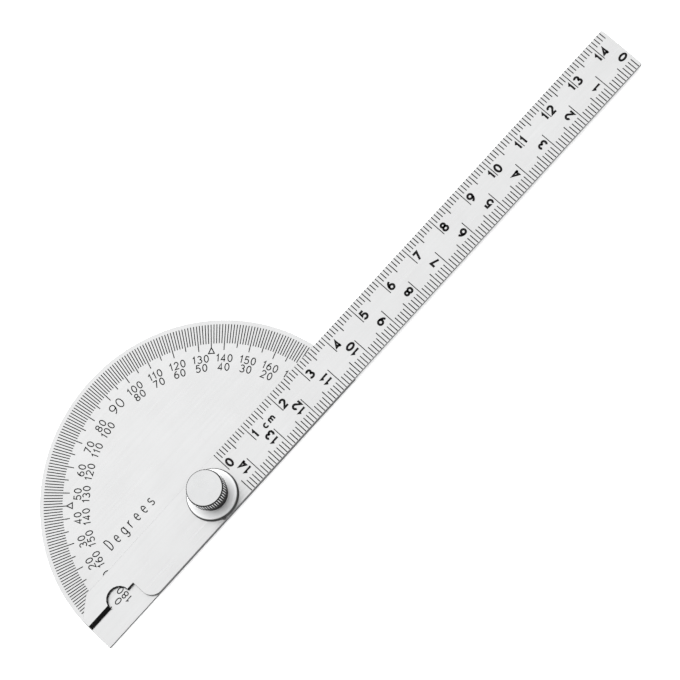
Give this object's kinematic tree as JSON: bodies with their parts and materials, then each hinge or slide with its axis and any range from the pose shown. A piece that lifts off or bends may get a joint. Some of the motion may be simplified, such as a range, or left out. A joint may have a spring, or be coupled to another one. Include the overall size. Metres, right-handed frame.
{
  "type": "swing-arm protractor",
  "caption": "Steel protractor: half-round degree plate with a ruler arm that swings on a pivot screw and is clamped by a knurled thumb nut.",
  "frame": {"origin": "on the pivot axis, in the plane of the plate's back face", "axes": "+X along the ruler arm to its free end, +Y from the pivot to the top of the arc, +Z out of the front face, along the pivot axis"},
  "size_m": [0.1979, 0.0524, 0.0097],
  "materials": {
    "sheet_steel": "satin stainless sheet",
    "turned_steel": "turned stainless",
    "spring_steel": "bright spring steel",
    "polished_nickel": "nickel plated, polished",
    "marking_ink": "black etched and filled markings"
  },
  "bodies": {
    "plate": {"protractor_plate": "sheet_steel", "pivot_screw": "turned_steel"},
    "arm": {"ruler_arm": "sheet_steel", "spring_washer": "spring_steel"},
    "washer": {"cup_washer": "polished_nickel"},
    "nut": {"thumb_nut": "polished_nickel"}
  },
  "joints": [
    {"name": "arm_swing", "type": "hinge", "parent": "plate", "child": "arm", "pos_m": [0, 0, 0.001], "axis": [0, 0, -1], "range_deg": [0, 180]},
    {"name": "nut_lift", "type": "slide", "parent": "arm", "child": "washer", "axis": [0, 0, 1], "range_m": [0, 0.0005]},
    {"name": "nut_turn", "type": "hinge", "parent": "washer", "child": "nut", "pos_m": [0, 0, 0.0025], "axis": [0, 0, 1], "range_deg": [0, 360]}
  ],
  "couplings": [
    {"joint": "nut_lift", "follows": "nut_turn", "m_per_rad": 0.00007957}
  ]
}
